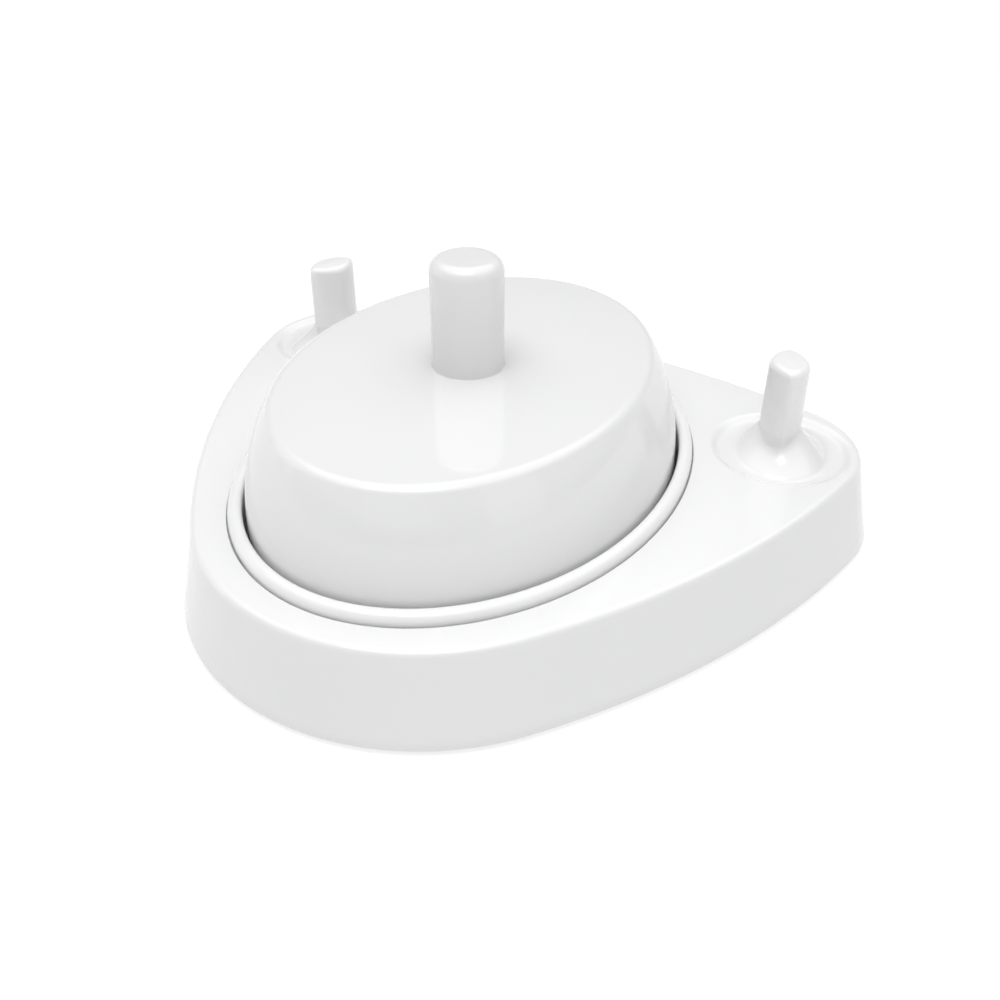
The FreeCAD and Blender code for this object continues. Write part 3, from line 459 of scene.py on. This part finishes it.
def make_peg(side, name):
    solid = Solid()
    top = PEG_HIGH.z
    crown = 1.1
    taper = 0.1
    stages = [(PEG_WIDE, PEG_LONG, PEG_POWER, PEG_SEAM + 0.01)]
    for share in (0.3, 0.7, 1.0):
        stages.append((PEG_WIDE - taper * share, PEG_LONG - taper * share, PEG_POWER,
                       PEG_SEAM + 0.2 + (top - crown - PEG_SEAM - 0.2) * share))
    for step in range(1, 11):
        angle = QUARTER * step / 11
        inset = taper + crown * (1 - math.cos(angle))
        stages.append((PEG_WIDE - inset, PEG_LONG - inset, PEG_POWER + 0.25 * step / 11,
                       top - crown + (crown - 0.1) * math.sin(angle)))
    loops = [solid.loop(pillow(side, *stage[:3]), stage[3]) for stage in stages]
    solid.cap(loops[-1], top, rings=6)
    centre = (side * PEG_X, PEG_Y)
    lean_angle = side * PEG_TURN
    shank = [solid.loop(arc(centre, radius, lean_angle, lean_angle + TURN, 96), height)
             for radius, height in ((SHANK_RADIUS - 0.3, PEG_LOW.z), (SHANK_RADIUS, PEG_LOW.z + 0.3),
                                    (SHANK_RADIUS, PEG_SEAM + 0.01))]
    solid.cap(shank[0], PEG_LOW.z, rings=2)
    solid.skin(shank + loops)
    return solid.piece(name)


def make_tray_base():
    solid = Solid()
    low, high = BASE_LOW.z, BASE_HIGH.z
    edge = BASE_HIGH.x - (SHELL_HIGH.x - FLARE)
    soft = 0.3
    sides = [(edge - soft - 0.2, low)] + rounded((edge - soft, low + soft), soft, -QUARTER, 0, 5)
    sides += [(edge, high - 0.1), (edge - 0.1, high)]
    bottom, top = solid.skin([solid.loop(tray_outline(spread), height) for spread, height in sides])
    opening = [(soft + 0.2, low)] + rounded((soft, low + soft), soft, 1.5 * math.pi, math.pi, 5)
    opening += [(0.0, high - 0.1), (0.1, high)]
    under, over = solid.skin([solid.loop(oval(BASE_OPENING, spread), height) for spread, height in opening])
    below = [bottom, under]
    above = [top, over]
    for centre in FEET:
        seat = [(FOOT_RADIUS + 0.35, low), (FOOT_RADIUS + 0.1, low + 0.25), (FOOT_RADIUS + 0.1, low + 0.6)]
        rim, floor = solid.skin([solid.loop(circle(centre, radius, 64), height) for radius, height in seat])
        solid.cap(floor, low + 0.6, rings=2)
        below.append(rim)
    for centre in TRAY_SCREWS:
        hole = [(HEAD_RADIUS + 0.5, low), (HEAD_RADIUS + 0.2, low + 0.3), (HEAD_RADIUS + 0.2, low + 1.0),
                (PILOT_RADIUS + 0.2, low + 1.0), (PILOT_RADIUS + 0.2, high)]
        rim, end = solid.skin([solid.loop(circle(centre, radius, 40), height) for radius, height in hole])
        below.append(rim)
        above.append(end)
    solid.fill(below)
    solid.fill(above)
    return cut(solid.piece("tray_base_plate"), slot_cutter(WELL_Y + BASE_OPENING[1] - 3, SHELL_HIGH.y + 2))


def make_foot(centre, name):
    """A rubber foot with a rounded edge and a shallow cup in its face."""
    solid = Solid()
    radius, top = FOOT_RADIUS, FOOT_TOP
    soft = 0.35
    section = [(radius - 0.1, top), (radius, top - 0.1)]
    section += rounded((radius - soft, soft), soft, 0, -QUARTER, 6)
    section += [(radius - 1.3, 0.0), (radius - 1.5, 0.12), (radius - 1.8, 0.22)]
    loops = [solid.loop(circle(centre, reach, 64), height) for reach, height in section]
    solid.cap(loops[0], top, rings=2)
    solid.cap(loops[-1], 0.25, rings=4)
    solid.skin(loops)
    return solid.piece(name)


def make_screws(name, places, head_low, sections, recess):
    """Screws of one pattern: (radius, height) sections round each place, with a crossed recess."""
    solid = Solid()
    for centre in places:
        loops = [solid.loop(circle(centre, radius, 40), head_low + height) for radius, height in sections]
        solid.cap(loops[0], head_low + sections[0][1], rings=3)
        solid.cap(loops[-1], head_low + sections[-1][1], rings=1)
        solid.skin(loops)
    screws = solid.piece(name)
    arm, half, start, end = recess
    cutter = Solid()
    for centre in places:
        ends = [cutter.loop(cross(centre, arm, half), head_low + height) for height in (start, end)]
        cutter.skin(ends)
        for loop in ends:
            cutter.mesh.faces.new(loop)
    return cut(screws, from_bmesh(cutter.mesh, name + "_recess"), 30)


# ---------------------------------------------------------------- charger pieces

def puck_inset(height):
    """How far the charger's rounded side has drawn in at a height."""
    rise = max(0.0, height - PUCK_SHOULDER)
    return PUCK_SIDE_RADIUS - math.sqrt(PUCK_SIDE_RADIUS ** 2 - rise ** 2)


def cover_profile():
    """The cover's outer side from its rim to the top's flat, as (spread, height)."""
    section = [(-0.3, PUCK_BOTTOM), (-0.09, PUCK_BOTTOM + 0.09), (0.0, PUCK_BOTTOM + 0.3), (0.0, 8.0),
               (0.0, PUCK_SHOULDER)]
    lean = math.asin((PUCK_TOP - PUCK_ROUND * 0.7 - PUCK_SHOULDER) / PUCK_SIDE_RADIUS)
    start = PUCK_TOP - PUCK_ROUND + PUCK_ROUND * math.sin(lean)
    for step in range(1, 13):
        height = PUCK_SHOULDER + (start - PUCK_SHOULDER) * step / 12
        section.append((-puck_inset(height), height))
    edge = section[-1][0] - PUCK_ROUND * math.cos(lean)
    section += rounded((edge, PUCK_TOP - PUCK_ROUND), PUCK_ROUND, lean, QUARTER, 12)[1:]
    section.append((edge - 0.3, PUCK_TOP))
    return section


def make_charger_cover():
    solid = Solid()
    outside = [solid.loop(oval(PUCK, spread, FINE), height) for spread, height in cover_profile()]
    root = 0.2
    post = [(POST_RADIUS + root + 0.25, PUCK_TOP)]
    post += [(POST_RADIUS + root - root * math.sin(angle), PUCK_TOP + root - root * math.cos(angle))
             for angle in (QUARTER * step / 5 for step in range(6))]
    post += [(POST_RADIUS, PUCK_TOP + 4), (POST_RADIUS, PUCK_TOP + 9)]
    crown = 1.7
    post += rounded((POST_RADIUS - crown, POST_TOP - crown), crown, 0, QUARTER, 12)
    post.append((POST_RADIUS - crown - 0.3, POST_TOP))
    column = [solid.loop(circle((0, WELL_Y), radius, FINE), height) for radius, height in post]
    solid.cap(column[-1], POST_TOP, rings=5)
    skirt = -1.5
    wall = -2.3
    inner = [(skirt + 0.1, PUCK_BOTTOM), (skirt, PUCK_BOTTOM + 0.1), (skirt, 6.6), (wall, 6.6),
             (wall, PUCK_SHOULDER)]
    roof = PUCK_TOP - 1.9
    for step in range(1, 7):
        height = PUCK_SHOULDER + (roof - PUCK_SHOULDER) * step / 6
        inner.append((wall - puck_inset(height), height))
    inside = [solid.loop(oval(PUCK, spread, FINE), height) for spread, height in inner]
    hollow = circle((0, WELL_Y), POST_RADIUS - POST_WALL, FINE)
    bore = [solid.loop(hollow, height) for height in (roof, POST_TOP - POST_WALL)]
    solid.cap(bore[-1], POST_TOP - POST_WALL, rings=1)
    solid.skin(list(reversed(bore)) + list(reversed(inside)) + outside + column)
    cover = solid.piece("charger_cover_skin")
    return cut(cover, bore_cutter(PUCK[1] - 8, PUCK[1] + 4))


# ---------------------------------------------------------------- materials

class Material:
    """A node material round one Principled shader."""

    def __init__(self, name):
        self.material = bpy.data.materials.new(name)
        self.material.use_nodes = True
        self.nodes = self.material.node_tree.nodes
        self.links = self.material.node_tree.links
        self.shader = self.nodes["Principled BSDF"]
        self.place = self.nodes.new("ShaderNodeTexCoord").outputs["Object"]

    def set(self, **sockets):
        for name, value in sockets.items():
            self.shader.inputs[name.replace("_", " ")].default_value = value
        return self

    def noise(self, scale, detail=2.0, roughness=0.5):
        node = self.nodes.new("ShaderNodeTexNoise")
        node.inputs["Scale"].default_value = scale
        node.inputs["Detail"].default_value = detail
        node.inputs["Roughness"].default_value = roughness
        self.links.new(self.place, node.inputs["Vector"])
        return node.outputs["Fac"]

    def spread(self, value, low, high, start=0.3, end=0.7):
        node = self.nodes.new("ShaderNodeMapRange")
        node.inputs["From Min"].default_value = start
        node.inputs["From Max"].default_value = end
        node.inputs["To Min"].default_value = low
        node.inputs["To Max"].default_value = high
        self.links.new(value, node.inputs["Value"])
        return node.outputs["Result"]

    def blend(self, factor, first, second):
        node = self.nodes.new("ShaderNodeMix")
        node.data_type = "RGBA"
        self.links.new(factor, node.inputs[0])
        node.inputs[6].default_value = (*first, 1)
        node.inputs[7].default_value = (*second, 1)
        return node.outputs[2]

    def colour(self, source):
        self.links.new(source, self.shader.inputs["Base Color"])
        return self

    def gloss(self, source):
        self.links.new(source, self.shader.inputs["Roughness"])
        return self

    def relief(self, source, strength, distance):
        node = self.nodes.new("ShaderNodeBump")
        node.inputs["Strength"].default_value = strength
        node.inputs["Distance"].default_value = distance
        self.links.new(source, node.inputs["Height"])
        self.links.new(node.outputs["Normal"], self.shader.inputs["Normal"])
        return self


def moulded_white(name, tone=0.88, low=0.16, high=0.22):
    """Gloss white ABS: faint clouding, uneven polish and the slight waviness of a moulding."""
    made = Material(name)
    clouds = made.spread(made.noise(38, 3), 0, 1)
    made.colour(made.blend(clouds, (tone, tone, tone), (tone * 0.988, tone * 0.99, tone * 0.992)))
    made.gloss(made.spread(made.noise(220, 4, 0.6), low, high))
    made.relief(made.noise(900, 2), 0.05, 0.00002)
    made.set(IOR=1.5)
    return made.material


def matt_plastic(name, colour, grain=5200, roughness=0.5):
    """Spark-eroded plastic with a fine grain."""
    made = Material(name)
    grains = made.noise(grain, 3, 0.6)
    darker = tuple(channel * 0.93 for channel in colour)
    made.colour(made.blend(made.spread(grains, 0, 1), darker, colour))
    made.gloss(made.spread(made.noise(600, 3), roughness - 0.06, roughness + 0.06))
    made.relief(grains, 0.35, 0.00004)
    return made.material


def rubber(name, colour):
    made = Material(name)
    grains = made.noise(3600, 4, 0.7)
    paler = tuple(min(1, channel * 1.18 + 0.01) for channel in colour)
    made.colour(made.blend(made.spread(made.noise(700, 4), 0, 1), colour, paler))
    made.gloss(made.spread(grains, 0.62, 0.82))
    made.relief(grains, 0.4, 0.00005)
    return made.material


def metal(name, colour, low=0.24, high=0.4, scale=1500):
    made = Material(name)
    grains = made.noise(scale, 4, 0.6)
    darker = tuple(channel * 0.8 for channel in colour)
    made.colour(made.blend(made.spread(grains, 0, 1), darker, colour))
    made.gloss(made.spread(made.noise(scale * 2, 3), low, high))
    made.relief(grains, 0.2, 0.00002)
    made.set(Metallic=1.0)
    return made.material


def dress(piece, material):
    piece.data.materials.clear()
    piece.data.materials.append(material)


# ---------------------------------------------------------------- stage, light and camera

def make_floor():
    data = bpy.data.meshes.new("floor")
    reach = 40.0
    data.from_pydata([(-reach, -reach, 0), (reach, -reach, 0), (reach, reach, 0), (-reach, reach, 0)], [],
                     [(0, 1, 2, 3)])
    floor = bpy.data.objects.new("floor", data)
    bpy.context.scene.collection.objects.link(floor)
    made = Material("floor_paper")
    made.colour(made.blend(made.noise(12, 2), (0.33, 0.33, 0.33), (0.36, 0.36, 0.36)))
    made.set(Roughness=0.9, Emission_Color=(1, 1, 1, 1), Emission_Strength=0.64)
    dress(floor, made.material)


def soft_light(name, place, aim, size, power, shape="RECTANGLE"):
    data = bpy.data.lights.new(name, "AREA")
    data.shape = shape
    data.size = size[0]
    data.size_y = size[1]
    data.energy = power
    lamp = bpy.data.objects.new(name, data)
    bpy.context.scene.collection.objects.link(lamp)
    lamp.location = place
    lamp.rotation_mode = "QUATERNION"
    lamp.rotation_quaternion = (Vector(aim) - Vector(place)).to_track_quat("-Z", "Y")
    return lamp


SKY_HORIZON = 0.4
SKY_LOW = 0.08
SKY_HIGH = 1.8
SKY_TILT = math.radians(6)
KEY_POWER = 1.1
FRONT_POWER = 0.2


def make_light():
    world = bpy.data.worlds.new("studio")
    bpy.context.scene.world = world
    world.use_nodes = True
    nodes = world.node_tree.nodes
    links = world.node_tree.links
    heading = nodes.new("ShaderNodeTexCoord")
    toward = nodes.new("ShaderNodeVectorMath")
    toward.operation = "DOT_PRODUCT"
    toward.inputs[1].default_value = (0, math.sin(SKY_TILT), math.cos(SKY_TILT))
    nodes["Background"].inputs["Color"].default_value = (1, 1, 1, 1)
    links.new(heading.outputs["Generated"], toward.inputs[0])
    total = nodes.new("ShaderNodeMath")
    total.operation = "ADD"
    steps = ((0.6, 0.84, SKY_LOW, SKY_HIGH), (0.2, 0.36, SKY_HORIZON, 0))
    for number, (start, end, low, high) in enumerate(steps):
        step = nodes.new("ShaderNodeMapRange")
        step.interpolation_type = "SMOOTHSTEP"
        step.inputs["From Min"].default_value = start
        step.inputs["From Max"].default_value = end
        step.inputs["To Min"].default_value = low
        step.inputs["To Max"].default_value = high
        links.new(toward.outputs["Value"], step.inputs["Value"])
        links.new(step.outputs["Result"], total.inputs[number])
    links.new(total.outputs["Value"], nodes["Background"].inputs["Strength"])
    soft_light("key_box", (0.02, -0.16, 0.62), (0, 0, 0), (0.4, 0.3), KEY_POWER)
    soft_light("front_box", (0.15, -0.6, 0.3), (0, 0, 0.02), (0.5, 0.4), FRONT_POWER)
    soft_light("left_box", (-0.5, -0.12, 0.2), (0, 0, 0.01), (0.25, 0.35), 0.15)
    soft_light("right_box", (0.5, -0.12, 0.2), (0, 0, 0.01), (0.25, 0.35), 0.15)
    bpy.context.scene.view_settings.view_transform = "Standard"


def make_camera():
    data = bpy.data.cameras.new("camera")
    data.lens = CAMERA_LENS
    data.sensor_width = 36
    data.clip_start = 0.005
    camera = bpy.data.objects.new("camera", data)
    bpy.context.scene.collection.objects.link(camera)
    back = Vector((math.sin(CAMERA_AZIMUTH) * math.cos(CAMERA_ELEVATION),
                   -math.cos(CAMERA_AZIMUTH) * math.cos(CAMERA_ELEVATION), math.sin(CAMERA_ELEVATION)))
    camera.location = (CAMERA_TARGET + back * CAMERA_DISTANCE) * MM
    camera.rotation_mode = "QUATERNION"
    camera.rotation_quaternion = (-back).to_track_quat("-Z", "Y")
    bpy.context.scene.camera = camera


# ---------------------------------------------------------------- put together

def stand_in(piece, node, body, material):
    dress(piece, material)
    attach(piece, body)
    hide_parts(node)


stand_in(make_tray_shell(), "tray_shell", "tray",
         moulded_white("shell_gloss", 0.79, 0.04, 0.07))
stand_in(make_well_ring(), "well_ring", "tray", moulded_white("liner_gloss", 0.84, 0.04, 0.07))
peg_gloss = moulded_white("peg_gloss", 0.83, 0.04, 0.07)
for word, side in (("left", -1), ("right", 1)):
    stand_in(make_peg(side, "peg_" + word), "head_peg_" + word, "tray", peg_gloss)
stand_in(make_charger_cover(), "charger_cover", "charger",
         moulded_white("cover_gloss", 0.78, 0.02, 0.035))

stand_in(make_tray_base(), "tray_base", "tray", matt_plastic("base_grain", (0.84, 0.84, 0.84)))
foot_finish = rubber("foot_rubber", (0.3, 0.3, 0.31))
for word, centre in zip(("front", "left", "right"), FEET):
    stand_in(make_foot(centre, "rubber_foot_" + word), "foot_" + word, "tray", foot_finish)
screw_finish = metal("screw_steel", (0.62, 0.62, 0.63))
stand_in(make_screws("tray_screw_set", TRAY_SCREWS, BASE_LOW.z, SCREW_SECTIONS, SCREW_RECESS),
         "tray_screws", "tray", screw_finish)

finishes = {
    "plate_grey": matt_plastic("plate_grain", (0.78, 0.78, 0.79)),
    "foot_rubber": foot_finish,
    "seal_rubber": rubber("seal_rubber", (0.05, 0.05, 0.055)),
    "screw_steel": screw_finish,
    "ferrite": matt_plastic("ferrite_sinter", (0.05, 0.05, 0.055), roughness=0.6),
    "bobbin_plastic": matt_plastic("bobbin_nylon", (0.74, 0.7, 0.56)),
    "copper": metal("copper_enamel", (0.72, 0.32, 0.14), low=0.15, high=0.25),
    "board_green": matt_plastic("board_mask", (0.03, 0.22, 0.09), roughness=0.35),
    "capacitor_sleeve": matt_plastic("capacitor_sleeve", (0.03, 0.04, 0.2), roughness=0.3),
    "film_yellow": matt_plastic("film_case", (0.72, 0.5, 0.06), roughness=0.4),
    "choke_black": matt_plastic("choke_sleeve", (0.02, 0.02, 0.022), roughness=0.4),
    "chip_black": matt_plastic("chip_epoxy", (0.02, 0.02, 0.02), roughness=0.55),
    "resistor_blue": matt_plastic("resistor_lacquer", (0.16, 0.4, 0.55), roughness=0.3),
    "lug_brass": metal("lug_tin", (0.8, 0.72, 0.5)),
}
for row in frame["record"]["subparts"]:
    if row["material_slot"] in finishes:
        dress(frame["nodes"][row["node"]], finishes[row["material_slot"]])

make_floor()
make_light()
make_camera()
